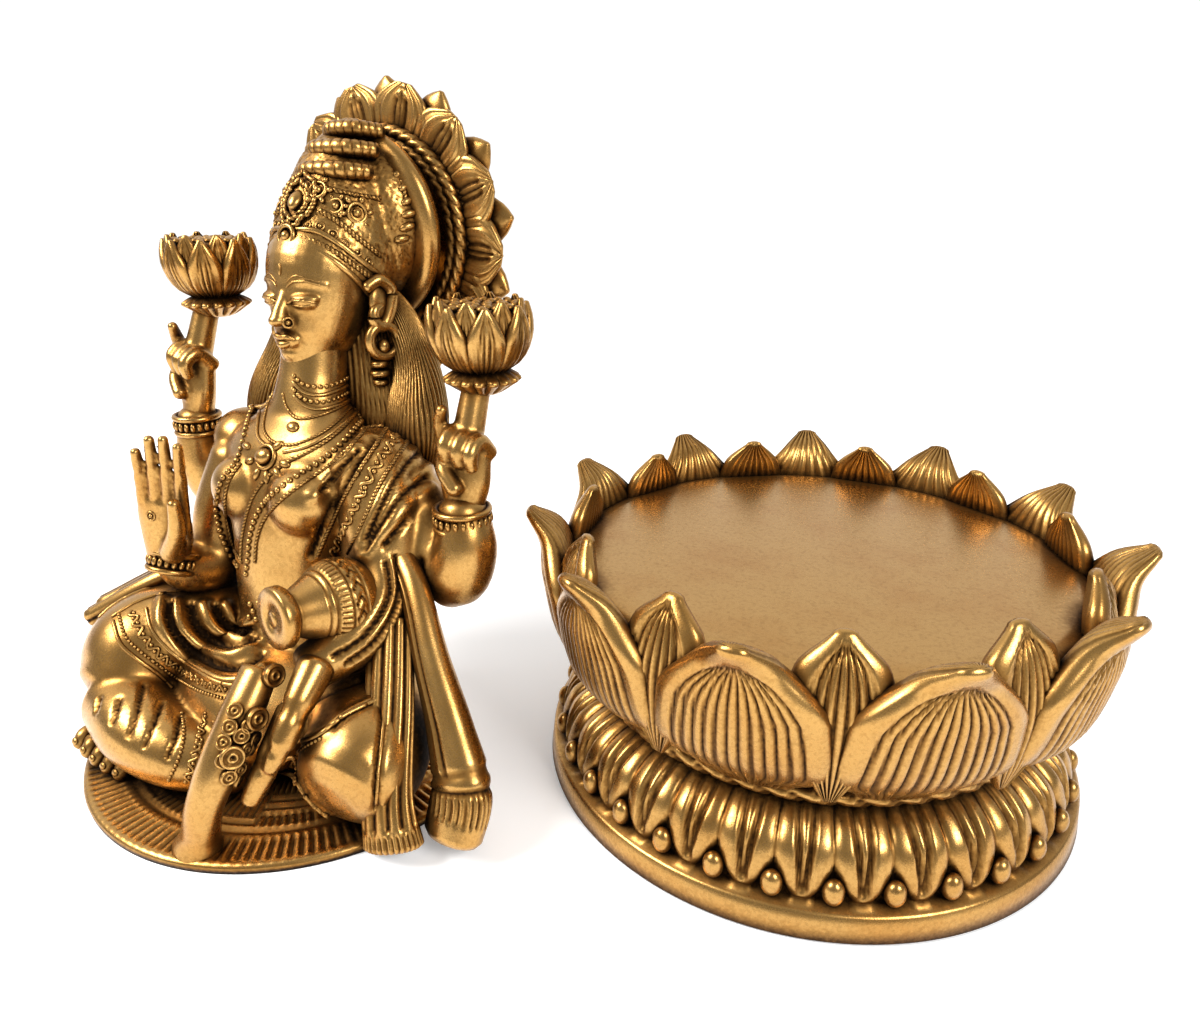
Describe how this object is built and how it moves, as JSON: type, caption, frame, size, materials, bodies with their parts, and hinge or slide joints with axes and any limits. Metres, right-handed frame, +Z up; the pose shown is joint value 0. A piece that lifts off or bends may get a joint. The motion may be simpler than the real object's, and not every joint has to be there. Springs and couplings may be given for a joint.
{
  "type": "seated lakshmi figure with lotus plinth",
  "caption": "Cast brass seated goddess with raised lotuses and a pouring pot, on her own plate, standing beside the lotus plinth that she lifts off.",
  "frame": {"origin": "centre of the round front of the figure's plate, on the surface that both castings stand on", "axes": "+Z up, -Y the way the figure faces, +X to the figure's left"},
  "size_m": [0.2961, 0.2241, 0.1998],
  "materials": {
    "aged_brass": "bright polished high places over a dark brown antique patina in the recesses"
  },
  "bodies": {
    "root": {"lakshmi_figure": "aged_brass", "lotus_plinth": "aged_brass"}
  },
  "joints": []
}
